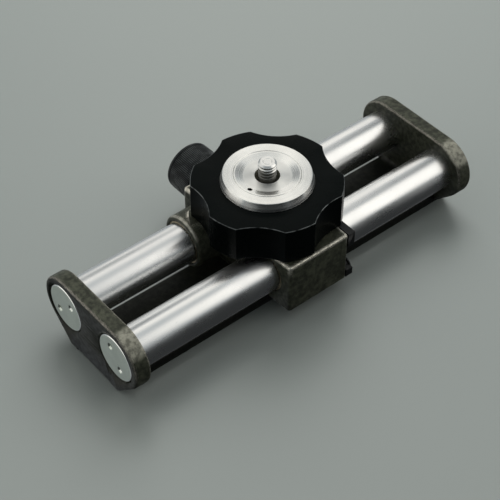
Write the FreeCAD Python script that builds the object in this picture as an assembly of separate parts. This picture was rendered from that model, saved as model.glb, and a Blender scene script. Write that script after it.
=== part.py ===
import FreeCAD, Part
import math
import os

from FreeCAD import Rotation, Vector

# Macro focusing rail, in millimetres.
# X runs along the tubes, Y points to the clamp knob at the rear, Z is up.
# The origin is the mouth of the tripod thread, in the middle of the underside.

# Rail frame: a casting with a flat base bar between two end plates
RAIL_LENGTH = 149.0
PLATE_THICKNESS = 6.0
TUBE_SPACING = 28.0
TUBE_HEIGHT = 17.0
LOBE_RADIUS = 11.6
BAR_WIDTH = 28.5
BAR_THICKNESS = 4.2
UNDERSIDE_RELIEF_WIDTH = 19.0
UNDERSIDE_RELIEF_DEPTH = 1.3
TRIPOD_PAD_RADIUS = 13.0
PLATE_EDGE_ROUND = 0.9
BAR_EDGE_ROUND = 0.6
BAR_END_FILLET = 2.0

# Guide tubes and the plugs that hold their ends
TUBE_RADIUS = 7.5
TUBE_BORE_RADIUS = 6.0
TUBE_SEAT_GAP = 0.02
PLUG_HEAD_RADIUS = 8.9
PLUG_HEAD_THICKNESS = 2.7
PLUG_SPIGOT_LENGTH = 9.0
PLUG_RIM_ROUND = 0.5
PLUG_GAP = 0.3
SPANNER_HOLE_RADIUS = 0.6
SPANNER_HOLE_DEPTH = 1.4
SPANNER_HOLE_CIRCLE_RADIUS = 4.4

# Tripod bush in the middle of the bar
BUSH_RADIUS = 6.0
BUSH_FLANGE_RADIUS = 7.5
BUSH_FLANGE_THICKNESS = 0.8
TRIPOD_THREAD_RADIUS = 2.6

# Carriage: a block across both tubes with a long barrel on the rear one
BLOCK_LEFT_FRONT = -12.0
BLOCK_LEFT_REAR = -14.8
BLOCK_RIGHT = 14.0
BLOCK_FRONT = -26.3
BLOCK_REAR = 28.0
BLOCK_BOTTOM = 5.6
BLOCK_TOP = 26.3
BLOCK_CORNER_RADIUS = 1.2
BLOCK_EDGE_ROUND = 0.8
BARREL_RADIUS = 9.9
BARREL_HALF_LENGTH = 26.0
BARREL_RIM_ROUND = 1.0
BEARING_OUTER_RADIUS = 8.2
BEARING_CLEARANCE = 0.05
BARREL_BEARING_LENGTH = 10.0
BARREL_BEARING_INSET = 0.4
BORE_RELIEF_RADIUS = 7.9
WHEEL_CLEARANCE_RADIUS = 26.8
FRONT_BEARING_START = -11.8

# Black cover on the carriage's far end
COVER_THICKNESS = 2.8
COVER_NOTCH_BOTTOM = 10.9
COVER_NOTCH_TOP = 20.4
COVER_NOTCH_DEPTH = 4.0
COVER_SCREW_RADIUS = 1.5
COVER_SCREW_HEAD_RADIUS = 2.2
COVER_SCREW_HEAD_HEIGHT = 1.6
COVER_SCREW_LENGTH = 6.0
COVER_SCREW_PLACES = [(-22.8, 8.3), (-22.8, 23.2), (-1.2, 8.3), (-1.2, 23.2)]

# Threaded post that carries the hand wheel, and the camera screw through it
POST_RADIUS = 11.0
POST_TOP = 38.0
POST_SPIGOT_RADIUS = 7.0
POST_SPIGOT_DEPTH = 2.0
SCREW_RADIUS = 3.175
SCREW_SHANK_RADIUS = 3.0
SCREW_THREAD_START = 43.0
SCREW_TOP = 49.1
SCREW_TIP_FLAT_RADIUS = 2.35
SCREW_HOLE_RADIUS = 3.25
SCREW_HEAD_RADIUS = 4.5
SCREW_HEAD_HEIGHT = 4.0
SCREW_HEAD_POCKET = 4.4
HEX_KEY_ACROSS_FLATS = 5.0
DOWEL_RADIUS = 1.0
DOWEL_LENGTH = 8.0
DOWEL_OFFSET = 8.6
STOP_RING_INNER = 10.4
STOP_RING_OUTER = 12.4
STOP_RING_BOTTOM = 36.2
STOP_RING_THICKNESS = 1.2
RING_GAP_ANGLE = 30.0
GUIDE_PIN_RADIUS = 0.6
GUIDE_PIN_PLACE = (-9.28, -2.12)
GUIDE_PIN_BOTTOM = 33.0
GUIDE_PIN_TOP = 42.5

# Hand wheel with six lobes
WHEEL_RADIUS = 26.0
WHEEL_BOTTOM = 26.8
WHEEL_TOP = 40.75
WHEEL_LOBES = 6
WHEEL_LOBE_HALF_ANGLE = 12.0
WHEEL_LOBE_START = 15.2
WHEEL_SCALLOP_BOTTOM = 23.1
WHEEL_EDGE_CHAMFER = 0.5
WHEEL_POCKET_RADIUS = 13.0
WHEEL_SHOULDER = 34.0
WHEEL_UNDERCUT_INNER = 14.5
WHEEL_UNDERCUT_OUTER = 21.0
WHEEL_UNDERCUT_DEPTH = 2.5

# Camera platform, the bright disc on the wheel
PLATFORM_BOTTOM = 40.8
PLATFORM_TOP = 43.8
PLATFORM_RADIUS = 16.05
PLATFORM_TOP_RADIUS = 15.45
PLATFORM_BAND_HEIGHT = 0.5
PLATFORM_SPIGOT_RADIUS = 12.95
PLATFORM_SPIGOT_DEPTH = 2.2
PLATFORM_HOLE_RADIUS = 4.3
PLATFORM_RECESS_RADIUS = 8.2
PLATFORM_RECESS_DEPTH = 0.8
PLATFORM_DISH_RADIUS = 10.9
PLATFORM_DISH_EDGE_DEPTH = 0.15
PLATFORM_GROOVE_WIDTH = 0.4
PLATFORM_GROOVE_DEPTH = 0.3
PLATFORM_RING_INNER = 12.5
PLATFORM_RING_OUTER = 13.5
PLATFORM_RING_BOTTOM = 39.4
PLATFORM_RING_THICKNESS = 0.8
RING_GROOVE_GAP = 0.1

# Clamp on the rear tube
CLAMP_SCREW_RADIUS = 3.0
CLAMP_BOSS_RADIUS = 6.5
CLAMP_BOSS_LENGTH = 2.2
CLAMP_PAD_RADIUS = 2.98
CLAMP_PAD_END = 24.2
CLAMP_PAD_GAP = 0.08
CLAMP_SCREW_START = 24.25
CLAMP_SCREW_END = 38.0
KNOB_NECK_START = 31.2
KNOB_NECK_RADIUS = 6.2
KNOB_START = 32.6
KNOB_END = 44.8
KNOB_RADIUS = 9.5
KNOB_BAND_RADIUS = 9.4
KNOB_BAND_WIDTH = 1.5
KNURL_COUNT = 90
KNURL_DEPTH = 0.3

HALF_SPACING = TUBE_SPACING / 2
PLATE_OUTER = RAIL_LENGTH / 2
PLATE_INNER = PLATE_OUTER - PLATE_THICKNESS
PLUG_SEAT = PLATE_OUTER - PLUG_HEAD_THICKNESS - PLUG_GAP
FRONT_AXIS = Vector(0, -HALF_SPACING, TUBE_HEIGHT)
REAR_AXIS = Vector(0, HALF_SPACING, TUBE_HEIGHT)
X_AXIS = Vector(1, 0, 0)
Y_AXIS = Vector(0, 1, 0)
Z_AXIS = Vector(0, 0, 1)


def rod(radius, start, length, axis):
    """Solid cylinder from a start point along an axis."""
    return Part.makeCylinder(radius, length, start, axis)


def sleeve(outer, inner, start, length, axis):
    """Hollow cylinder from a start point along an axis."""
    return rod(outer, start, length, axis).cut(rod(inner, start, length, axis))


def box(low, high):
    """Box between two opposite corners."""
    size = high.sub(low)
    return Part.makeBox(size.x, size.y, size.z, low)


def turned(profile):
    """Solid of revolution about Z from (radius, height) corners."""
    corners = [Vector(radius, 0, height) for radius, height in profile]
    face = Part.Face(Part.makePolygon(corners + [corners[0]]))
    return face.revolve(Vector(0, 0, 0), Z_AXIS, 360)


def laid_along(shape, axis, start):
    """Copy of a shape made along Z, turned to lie along an axis from a start point."""
    placed = shape.copy()
    placed.Placement = FreeCAD.Placement(start, Rotation(Z_AXIS, axis))
    return placed


def on_axis(line, x):
    """Point at a given X on a tube's centre line."""
    return Vector(x, line.y, line.z)


def at_angle(radius, degrees, height=0.0):
    """Point on a circle about Z."""
    turn = math.radians(degrees)
    return Vector(radius * math.cos(turn), radius * math.sin(turn), height)


def save(name, shape):
    """Check one piece and write it under its node name."""
    if not shape.isValid() or shape.Volume <= 0:
        raise ValueError(name + " is not a sound solid")
    shape.exportStep("parts/" + name + ".step")
    print(name, len(shape.Solids), "solids", len(shape.Faces), "faces", round(shape.Volume, 1), "mm3")


def plate_outline():
    """Closed outline of an end plate in the YZ plane: two lobes on a tapered foot."""
    slant = math.radians(45)
    top = TUBE_HEIGHT + LOBE_RADIUS
    reach = LOBE_RADIUS * math.cos(slant)
    tangent = Vector(0, HALF_SPACING + reach, TUBE_HEIGHT - reach)
    foot_y = tangent.y - tangent.z
    outermost = Vector(0, HALF_SPACING + LOBE_RADIUS, TUBE_HEIGHT)

    def mirrored(point):
        return Vector(point.x, -point.y, point.z)

    rear_top = Vector(0, HALF_SPACING, top)
    rear_foot = Vector(0, foot_y, 0)
    edges = [
        Part.LineSegment(mirrored(rear_top), rear_top),
        Part.Arc(rear_top, outermost, tangent),
        Part.LineSegment(tangent, rear_foot),
        Part.LineSegment(rear_foot, mirrored(rear_foot)),
        Part.LineSegment(mirrored(rear_foot), mirrored(tangent)),
        Part.Arc(mirrored(tangent), mirrored(outermost), mirrored(rear_top)),
    ]
    return Part.Wire([edge.toShape() for edge in edges])


def end_plate(side):
    """One end plate with rounded edges; side is -1 for the left end and 1 for the right."""
    plate = Part.Face(plate_outline()).extrude(Vector(PLATE_THICKNESS, 0, 0))
    rims = [edge for edge in plate.Edges if edge.BoundBox.XLength < 0.01]
    plate = plate.makeFillet(PLATE_EDGE_ROUND, rims)
    plate.translate(Vector(PLATE_INNER if side > 0 else -PLATE_OUTER, 0, 0))
    return plate


def bar_section():
    """Base bar between the plates, with rounded long edges and filleted ends."""
    half = BAR_WIDTH / 2
    bar = box(Vector(-PLATE_OUTER + 2, -half, 0), Vector(PLATE_OUTER - 2, half, BAR_THICKNESS))
    long_edges = [edge for edge in bar.Edges if edge.BoundBox.XLength > 1]
    bar = bar.makeFillet(BAR_EDGE_ROUND, long_edges)
    for side in (-1, 1):
        inner = side * PLATE_INNER
        corner = Part.makePolygon([
            Vector(inner, 0, BAR_THICKNESS - 0.5),
            Vector(inner, 0, BAR_THICKNESS + BAR_END_FILLET),
            Vector(inner - side * BAR_END_FILLET, 0, BAR_THICKNESS),
            Vector(inner - side * BAR_END_FILLET, 0, BAR_THICKNESS - 0.5),
            Vector(inner, 0, BAR_THICKNESS - 0.5),
        ])
        width = BAR_WIDTH - 4 * BAR_EDGE_ROUND
        wedge = Part.Face(corner).extrude(Vector(0, width, 0))
        wedge.translate(Vector(0, -width / 2, 0))
        hollow = rod(
            BAR_END_FILLET,
            Vector(inner - side * BAR_END_FILLET, -width / 2, BAR_THICKNESS + BAR_END_FILLET),
            width,
            Y_AXIS,
        )
        bar = bar.fuse(wedge.cut(hollow))
    return bar


def rail_frame():
    """U-shaped casting: bar and end plates, bored for the tubes, plugs and tripod bush."""
    frame = bar_section().fuse([end_plate(-1), end_plate(1)])
    relief = box(
        Vector(-PLATE_OUTER - 1, -UNDERSIDE_RELIEF_WIDTH / 2, -1),
        Vector(PLATE_OUTER + 1, UNDERSIDE_RELIEF_WIDTH / 2, UNDERSIDE_RELIEF_DEPTH),
    )
    pad = rod(TRIPOD_PAD_RADIUS, Vector(0, 0, -2), 4 + UNDERSIDE_RELIEF_DEPTH, Z_AXIS)
    tools = [relief.cut(pad), rod(BUSH_RADIUS, Vector(0, 0, -1), BAR_THICKNESS + 2, Z_AXIS)]
    for line in (FRONT_AXIS, REAR_AXIS):
        seat = TUBE_RADIUS + TUBE_SEAT_GAP
        tools.append(rod(seat, on_axis(line, -PLATE_OUTER - 1), RAIL_LENGTH + 2, X_AXIS))
        counterbore = PLUG_HEAD_RADIUS + PLUG_GAP
        tools.append(rod(counterbore, on_axis(line, PLUG_SEAT), 10, X_AXIS))
        tools.append(rod(counterbore, on_axis(line, -PLUG_SEAT - 10), 10, X_AXIS))
    return frame.cut(tools).removeSplitter()


def guide_tube(line):
    """Drawn steel tube between the two plug seats."""
    return sleeve(TUBE_RADIUS, TUBE_BORE_RADIUS, on_axis(line, -PLUG_SEAT), 2 * PLUG_SEAT, X_AXIS)


def end_plug(line, side, hole_angle):
    """Plug with a flat head and two pin-spanner holes; its spigot fills the tube's end."""
    head = PLUG_HEAD_THICKNESS
    profile = [
        (0, head),
        (PLUG_HEAD_RADIUS, head),
        (PLUG_HEAD_RADIUS, 0),
        (TUBE_BORE_RADIUS, 0),
        (TUBE_BORE_RADIUS, -PLUG_SPIGOT_LENGTH + 0.5),
        (TUBE_BORE_RADIUS - 0.5, -PLUG_SPIGOT_LENGTH),
        (0, -PLUG_SPIGOT_LENGTH),
    ]
    plug = turned(profile)
    rim = [edge for edge in plug.Edges if edge.BoundBox.ZMin > head - 0.01 and edge.BoundBox.XLength > 1]
    plug = plug.makeFillet(PLUG_RIM_ROUND, rim)
    for turn in (hole_angle, hole_angle + 180):
        place = at_angle(SPANNER_HOLE_CIRCLE_RADIUS, turn, head - SPANNER_HOLE_DEPTH)
        plug = plug.cut(rod(SPANNER_HOLE_RADIUS, place, 5, Z_AXIS))
    return laid_along(plug, Vector(side, 0, 0), on_axis(line, side * PLUG_SEAT))


def tripod_bush():
    """Flanged threaded bush, put in from above so that a tripod screw can't pull it out."""
    top = BAR_THICKNESS + BUSH_FLANGE_THICKNESS
    return turned([
        (TRIPOD_THREAD_RADIUS, 0),
        (BUSH_RADIUS, 0),
        (BUSH_RADIUS, BAR_THICKNESS),
        (BUSH_FLANGE_RADIUS, BAR_THICKNESS),
        (BUSH_FLANGE_RADIUS, top),
        (TRIPOD_THREAD_RADIUS, top),
    ])


def carriage_block():
    """Carriage casting with a drafted left side, bored for what it carries."""
    plan = Part.makePolygon([
        Vector(BLOCK_LEFT_FRONT, BLOCK_FRONT, BLOCK_BOTTOM),
        Vector(BLOCK_RIGHT, BLOCK_FRONT, BLOCK_BOTTOM),
        Vector(BLOCK_RIGHT, BLOCK_REAR, BLOCK_BOTTOM),
        Vector(BLOCK_LEFT_REAR, BLOCK_REAR, BLOCK_BOTTOM),
        Vector(BLOCK_LEFT_FRONT, BLOCK_FRONT, BLOCK_BOTTOM),
    ])
    block = Part.Face(plan).extrude(Vector(0, 0, BLOCK_TOP - BLOCK_BOTTOM))
    corners = [edge for edge in block.Edges if edge.BoundBox.ZLength > 1]
    block = block.makeFillet(BLOCK_CORNER_RADIUS, corners)
    rims = [edge for edge in block.Edges if edge.BoundBox.ZLength < 0.01]
    block = block.makeFillet(BLOCK_EDGE_ROUND, rims)
    barrel = rod(BARREL_RADIUS, on_axis(REAR_AXIS, -BARREL_HALF_LENGTH), 2 * BARREL_HALF_LENGTH, X_AXIS)
    rims = [edge for edge in barrel.Edges if edge.BoundBox.XLength < 0.01]
    barrel = barrel.makeFillet(BARREL_RIM_ROUND, rims)
    barrel = barrel.cut(rod(WHEEL_CLEARANCE_RADIUS, Vector(0, 0, BLOCK_TOP), 5, Z_AXIS))
    boss = rod(CLAMP_BOSS_RADIUS, Vector(0, BLOCK_REAR - 1, TUBE_HEIGHT), CLAMP_BOSS_LENGTH + 1, Y_AXIS)
    block = block.fuse([barrel, boss])

    reach = BARREL_HALF_LENGTH + 1
    rear_bearing = BARREL_BEARING_LENGTH + BARREL_BEARING_INSET
    tools = [
        rod(BEARING_OUTER_RADIUS, on_axis(FRONT_AXIS, -reach), 2 * reach, X_AXIS),
        rod(BORE_RELIEF_RADIUS, on_axis(REAR_AXIS, -reach), 2 * reach, X_AXIS),
        rod(BEARING_OUTER_RADIUS, on_axis(REAR_AXIS, -reach), rear_bearing + 1, X_AXIS),
        rod(BEARING_OUTER_RADIUS, on_axis(REAR_AXIS, reach - rear_bearing - 1), rear_bearing + 1, X_AXIS),
        rod(POST_SPIGOT_RADIUS, Vector(0, 0, BLOCK_TOP - POST_SPIGOT_DEPTH), 5, Z_AXIS),
        rod(SCREW_HOLE_RADIUS, Vector(0, 0, 0), 40, Z_AXIS),
        rod(SCREW_HEAD_RADIUS + 0.2, Vector(0, 0, 0), BLOCK_BOTTOM + SCREW_HEAD_POCKET, Z_AXIS),
        rod(CLAMP_SCREW_RADIUS + BEARING_CLEARANCE, Vector(0, HALF_SPACING, TUBE_HEIGHT), 30, Y_AXIS),
    ]
    dowel_bottom = BLOCK_TOP - DOWEL_LENGTH / 2
    for side in (-1, 1):
        tools.append(rod(DOWEL_RADIUS, Vector(side * DOWEL_OFFSET, 0, dowel_bottom), 5, Z_AXIS))
    for y, z in COVER_SCREW_PLACES:
        start = Vector(BLOCK_RIGHT + COVER_THICKNESS - COVER_SCREW_LENGTH, y, z)
        tools.append(rod(COVER_SCREW_RADIUS, start, COVER_SCREW_LENGTH, X_AXIS))
    return block.cut(tools).removeSplitter()


def bearing(line, start, length):
    """Plain bearing sleeve with running clearance on its tube."""
    return sleeve(BEARING_OUTER_RADIUS, TUBE_RADIUS + BEARING_CLEARANCE, on_axis(line, start), length, X_AXIS)


def end_cover():
    """Black cover plate with clearance holes and a notch in its front edge."""
    low = Vector(BLOCK_RIGHT, BLOCK_FRONT, BLOCK_BOTTOM)
    high = Vector(BLOCK_RIGHT + COVER_THICKNESS, BLOCK_REAR, BLOCK_TOP)
    cover = box(low, high)
    corners = [edge for edge in cover.Edges if edge.BoundBox.XLength > 1]
    cover = cover.makeFillet(BLOCK_EDGE_ROUND, corners)
    start = BLOCK_RIGHT - 1
    notch = box(
        Vector(start, BLOCK_FRONT - 1, COVER_NOTCH_BOTTOM),
        Vector(start + 10, BLOCK_FRONT + COVER_NOTCH_DEPTH, COVER_NOTCH_TOP),
    )
    notch_ends = [
        edge for edge in notch.Edges
        if edge.BoundBox.XLength > 1 and edge.BoundBox.Center.y > BLOCK_FRONT
    ]
    tools = [
        notch.makeFillet(1.5, notch_ends),
        rod(TUBE_RADIUS + 0.4, on_axis(FRONT_AXIS, start), 10, X_AXIS),
        rod(BARREL_RADIUS + 0.1, on_axis(REAR_AXIS, start), 10, X_AXIS),
    ]
    for y, z in COVER_SCREW_PLACES:
        tools.append(rod(COVER_SCREW_RADIUS, Vector(start, y, z), 10, X_AXIS))
    return cover.cut(tools)


def end_cover_screws():
    """Cap screws of the end cover, one solid each."""
    screws = []
    face = BLOCK_RIGHT + COVER_THICKNESS
    for y, z in COVER_SCREW_PLACES:
        screw = rod(COVER_SCREW_RADIUS, Vector(face - COVER_SCREW_LENGTH, y, z), COVER_SCREW_LENGTH, X_AXIS)
        head = rod(COVER_SCREW_HEAD_RADIUS, Vector(face, y, z), COVER_SCREW_HEAD_HEIGHT, X_AXIS)
        socket = rod(1.2, Vector(face + 0.5, y, z), 5, X_AXIS)
        screws.append(screw.fuse(head).removeSplitter().cut(socket))
    return Part.makeCompound(screws)


def split_ring(inner, outer, bottom, thickness):
    """Flat snap ring with a gap facing +X."""
    gap = math.radians(RING_GAP_ANGLE / 2)
    ring = sleeve(outer, inner, Vector(0, 0, bottom), thickness, Z_AXIS)
    reach = outer + 1
    spread = reach * math.tan(gap)
    wedge = Part.Face(Part.makePolygon([
        Vector(0, 0, bottom - 1),
        Vector(reach, -spread, bottom - 1),
        Vector(reach, spread, bottom - 1),
        Vector(0, 0, bottom - 1),
    ]))
    return ring.cut(wedge.extrude(Vector(0, 0, thickness + 2)))


def platform_post():
    """Threaded post with a spigot below and a snap-ring groove near its top."""
    groove_bottom = STOP_RING_BOTTOM - RING_GROOVE_GAP / 2
    groove_top = STOP_RING_BOTTOM + STOP_RING_THICKNESS + RING_GROOVE_GAP / 2
    post = turned([
        (SCREW_HOLE_RADIUS, BLOCK_TOP - POST_SPIGOT_DEPTH),
        (POST_SPIGOT_RADIUS, BLOCK_TOP - POST_SPIGOT_DEPTH),
        (POST_SPIGOT_RADIUS, BLOCK_TOP),
        (POST_RADIUS, BLOCK_TOP),
        (POST_RADIUS, groove_bottom),
        (STOP_RING_INNER, groove_bottom),
        (STOP_RING_INNER, groove_top),
        (POST_RADIUS, groove_top),
        (POST_RADIUS, POST_TOP - 0.2),
        (POST_RADIUS - 0.2, POST_TOP),
        (SCREW_HOLE_RADIUS, POST_TOP),
    ])
    pin_x, pin_y = GUIDE_PIN_PLACE
    tools = [rod(GUIDE_PIN_RADIUS, Vector(pin_x, pin_y, GUIDE_PIN_BOTTOM), 10, Z_AXIS)]
    dowel_bottom = BLOCK_TOP - DOWEL_LENGTH / 2
    for side in (-1, 1):
        tools.append(rod(DOWEL_RADIUS, Vector(side * DOWEL_OFFSET, 0, dowel_bottom), DOWEL_LENGTH, Z_AXIS))
    return post.cut(tools)


def post_dowels():
    """Two dowels that key the post to the carriage."""
    bottom = BLOCK_TOP - DOWEL_LENGTH / 2
    return Part.makeCompound([
        rod(DOWEL_RADIUS, Vector(side * DOWEL_OFFSET, 0, bottom), DOWEL_LENGTH, Z_AXIS)
        for side in (-1, 1)
    ])


def camera_screw():
    """Long screw put in from below; its end above the platform takes the camera."""
    head_bottom = BLOCK_BOTTOM + SCREW_HEAD_POCKET - SCREW_HEAD_HEIGHT
    head_top = BLOCK_BOTTOM + SCREW_HEAD_POCKET
    chamfer = SCREW_RADIUS - SCREW_TIP_FLAT_RADIUS
    screw = turned([
        (0, head_bottom),
        (SCREW_HEAD_RADIUS - 0.3, head_bottom),
        (SCREW_HEAD_RADIUS, head_bottom + 0.3),
        (SCREW_HEAD_RADIUS, head_top),
        (SCREW_SHANK_RADIUS, head_top),
        (SCREW_SHANK_RADIUS, SCREW_THREAD_START),
        (SCREW_RADIUS, SCREW_THREAD_START),
        (SCREW_RADIUS, SCREW_TOP - chamfer),
        (SCREW_TIP_FLAT_RADIUS, SCREW_TOP),
        (0, SCREW_TOP),
    ])
    corner = HEX_KEY_ACROSS_FLATS / 2 / math.cos(math.radians(30))
    corners = [at_angle(corner, 60 * step, head_bottom - 1) for step in range(7)]
    socket = Part.Face(Part.makePolygon(corners)).extrude(Vector(0, 0, 1 + SCREW_HEAD_HEIGHT * 0.6))
    return screw.cut(socket)


def guide_pin():
    """Pin that lets the platform rise but keeps it from turning."""
    pin_x, pin_y = GUIDE_PIN_PLACE
    length = GUIDE_PIN_TOP - GUIDE_PIN_BOTTOM
    return rod(GUIDE_PIN_RADIUS, Vector(pin_x, pin_y, GUIDE_PIN_BOTTOM), length, Z_AXIS)


def wheel_outline():
    """Closed outline of the hand wheel: outward arcs on the lobes, inward arcs between."""
    edges = []
    pitch = 360.0 / WHEEL_LOBES
    for lobe in range(WHEEL_LOBES):
        middle = WHEEL_LOBE_START + lobe * pitch
        first = at_angle(WHEEL_RADIUS, middle - WHEEL_LOBE_HALF_ANGLE)
        last = at_angle(WHEEL_RADIUS, middle + WHEEL_LOBE_HALF_ANGLE)
        following = at_angle(WHEEL_RADIUS, middle + pitch - WHEEL_LOBE_HALF_ANGLE)
        edges.append(Part.Arc(first, at_angle(WHEEL_RADIUS, middle), last))
        edges.append(Part.Arc(last, at_angle(WHEEL_SCALLOP_BOTTOM, middle + pitch / 2), following))
    return Part.Wire([edge.toShape() for edge in edges])


def hand_wheel():
    """Scalloped wheel, threaded on the post, with a pocket for the platform's spigot."""
    height = WHEEL_TOP - WHEEL_BOTTOM
    wheel = Part.Face(wheel_outline()).extrude(Vector(0, 0, height))
    rims = [edge for edge in wheel.Edges if edge.BoundBox.ZLength < 0.01]
    wheel = wheel.makeChamfer(WHEEL_EDGE_CHAMFER, rims)
    wheel.translate(Vector(0, 0, WHEEL_BOTTOM))
    ring_gap = RING_GROOVE_GAP
    groove = rod(
        PLATFORM_RING_OUTER + ring_gap,
        Vector(0, 0, PLATFORM_RING_BOTTOM - ring_gap),
        PLATFORM_RING_THICKNESS + 2 * ring_gap,
        Z_AXIS,
    )
    undercut = sleeve(
        WHEEL_UNDERCUT_OUTER,
        WHEEL_UNDERCUT_INNER,
        Vector(0, 0, WHEEL_BOTTOM - 1),
        1 + WHEEL_UNDERCUT_DEPTH,
        Z_AXIS,
    )
    tools = [
        rod(POST_RADIUS + BEARING_CLEARANCE, Vector(0, 0, WHEEL_BOTTOM - 1), height + 2, Z_AXIS),
        rod(WHEEL_POCKET_RADIUS, Vector(0, 0, WHEEL_SHOULDER), height, Z_AXIS),
        groove,
        undercut,
    ]
    return wheel.cut(tools)


def camera_platform():
    """Turned disc with a bevelled rim, a fine groove round a shallow dish, and a spigot."""
    ring_gap = RING_GROOVE_GAP
    spigot_bottom = PLATFORM_BOTTOM - PLATFORM_SPIGOT_DEPTH
    ring_seat = PLATFORM_RING_INNER - 0.05
    disc = turned([
        (PLATFORM_HOLE_RADIUS, spigot_bottom),
        (PLATFORM_SPIGOT_RADIUS, spigot_bottom),
        (PLATFORM_SPIGOT_RADIUS, PLATFORM_RING_BOTTOM - ring_gap / 2),
        (ring_seat, PLATFORM_RING_BOTTOM - ring_gap / 2),
        (ring_seat, PLATFORM_RING_BOTTOM + PLATFORM_RING_THICKNESS + ring_gap / 2),
        (PLATFORM_SPIGOT_RADIUS, PLATFORM_RING_BOTTOM + PLATFORM_RING_THICKNESS + ring_gap / 2),
        (PLATFORM_SPIGOT_RADIUS, PLATFORM_BOTTOM),
        (PLATFORM_RADIUS, PLATFORM_BOTTOM),
        (PLATFORM_RADIUS, PLATFORM_BOTTOM + PLATFORM_BAND_HEIGHT),
        (PLATFORM_TOP_RADIUS, PLATFORM_TOP),
        (PLATFORM_DISH_RADIUS + PLATFORM_GROOVE_WIDTH, PLATFORM_TOP),
        (PLATFORM_DISH_RADIUS + PLATFORM_GROOVE_WIDTH / 2, PLATFORM_TOP - PLATFORM_GROOVE_DEPTH),
        (PLATFORM_DISH_RADIUS, PLATFORM_TOP - PLATFORM_DISH_EDGE_DEPTH),
        (PLATFORM_RECESS_RADIUS, PLATFORM_TOP - PLATFORM_RECESS_DEPTH),
        (PLATFORM_HOLE_RADIUS, PLATFORM_TOP - PLATFORM_RECESS_DEPTH),
    ])
    pin_x, pin_y = GUIDE_PIN_PLACE
    hole = rod(GUIDE_PIN_RADIUS + BEARING_CLEARANCE, Vector(pin_x, pin_y, spigot_bottom - 1), 20, Z_AXIS)
    return disc.cut(hole)


def clamp_pad():
    """Pad between the clamp screw and the rear tube, hollowed to fit the tube."""
    start = Vector(0, HALF_SPACING + TUBE_RADIUS - 2, TUBE_HEIGHT)
    pad = rod(CLAMP_PAD_RADIUS, start, CLAMP_PAD_END - start.y, Y_AXIS)
    return pad.cut(rod(TUBE_RADIUS + CLAMP_PAD_GAP, on_axis(REAR_AXIS, -10), 20, X_AXIS))


def clamp_screw():
    """Clamp screw; its outer half is fixed in the knob."""
    length = CLAMP_SCREW_END - CLAMP_SCREW_START
    tip = 0.5
    screw = turned([
        (0, 0),
        (CLAMP_SCREW_RADIUS - tip, 0),
        (CLAMP_SCREW_RADIUS, tip),
        (CLAMP_SCREW_RADIUS, length),
        (0, length),
    ])
    return laid_along(screw, Y_AXIS, Vector(0, CLAMP_SCREW_START, TUBE_HEIGHT))


def knurled_section():
    """Saw-toothed face for the knob's straight knurl, centred on Z."""
    corners = []
    for tooth in range(KNURL_COUNT):
        turn = 360.0 * tooth / KNURL_COUNT
        corners.append(at_angle(KNOB_RADIUS, turn))
        corners.append(at_angle(KNOB_RADIUS - KNURL_DEPTH, turn + 180.0 / KNURL_COUNT))
    return Part.Face(Part.makePolygon(corners + [corners[0]]))


def clamp_knob():
    """Knurled knob with a narrow neck and a plain band at its outer end."""
    length = KNOB_END - KNOB_START
    band = length - KNOB_BAND_WIDTH
    chamfer = 0.5
    knurl = knurled_section().extrude(Vector(0, 0, band))
    ends = turned([
        (0, 0),
        (KNOB_RADIUS - 2 * chamfer, 0),
        (KNOB_RADIUS + chamfer, 1.5 * chamfer),
        (KNOB_RADIUS + chamfer, band),
        (0, band),
    ])
    neck_length = KNOB_START - KNOB_NECK_START
    plain_band = turned([
        (0, band),
        (KNOB_BAND_RADIUS, band),
        (KNOB_BAND_RADIUS, length - chamfer),
        (KNOB_BAND_RADIUS - chamfer, length),
        (0, length),
    ])
    neck = rod(KNOB_NECK_RADIUS, Vector(0, 0, -neck_length), neck_length + 0.5, Z_AXIS)
    knob = knurl.common(ends).fuse([plain_band, neck])
    bore_start = Vector(0, 0, -neck_length - 1)
    bore_length = neck_length + 1 + CLAMP_SCREW_END - KNOB_START
    knob = knob.cut(rod(CLAMP_SCREW_RADIUS, bore_start, bore_length, Z_AXIS))
    return laid_along(knob, Y_AXIS, Vector(0, KNOB_START, TUBE_HEIGHT))


def main():
    """Build every piece and write it to parts."""
    os.makedirs("parts", exist_ok=True)
    save("rail_frame", rail_frame())
    save("front_tube", guide_tube(FRONT_AXIS))
    save("rear_tube", guide_tube(REAR_AXIS))
    save("left_front_plug", end_plug(FRONT_AXIS, -1, 31))
    save("left_rear_plug", end_plug(REAR_AXIS, -1, 128))
    save("right_front_plug", end_plug(FRONT_AXIS, 1, 20))
    save("right_rear_plug", end_plug(REAR_AXIS, 1, 75))
    save("tripod_bush", tripod_bush())

    save("carriage_block", carriage_block())
    save("front_bearing", bearing(FRONT_AXIS, FRONT_BEARING_START, BLOCK_RIGHT - FRONT_BEARING_START))
    length = BARREL_BEARING_LENGTH
    barrel_end = BARREL_HALF_LENGTH - BARREL_BEARING_INSET
    save("rear_bearing_left", bearing(REAR_AXIS, -barrel_end, length))
    save("rear_bearing_right", bearing(REAR_AXIS, barrel_end - length, length))
    save("end_cover", end_cover())
    save("end_cover_screws", end_cover_screws())
    save("platform_post", platform_post())
    save("post_dowels", post_dowels())
    save("stop_ring", split_ring(STOP_RING_INNER, STOP_RING_OUTER, STOP_RING_BOTTOM, STOP_RING_THICKNESS))
    save("guide_pin", guide_pin())
    save("camera_screw", camera_screw())

    save("hand_wheel", hand_wheel())
    save("camera_platform", camera_platform())
    platform_ring = split_ring(
        PLATFORM_RING_INNER, PLATFORM_RING_OUTER, PLATFORM_RING_BOTTOM, PLATFORM_RING_THICKNESS
    )
    save("platform_ring", platform_ring)

    save("clamp_pad", clamp_pad())
    save("clamp_screw", clamp_screw())
    save("clamp_knob", clamp_knob())


main()
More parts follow.
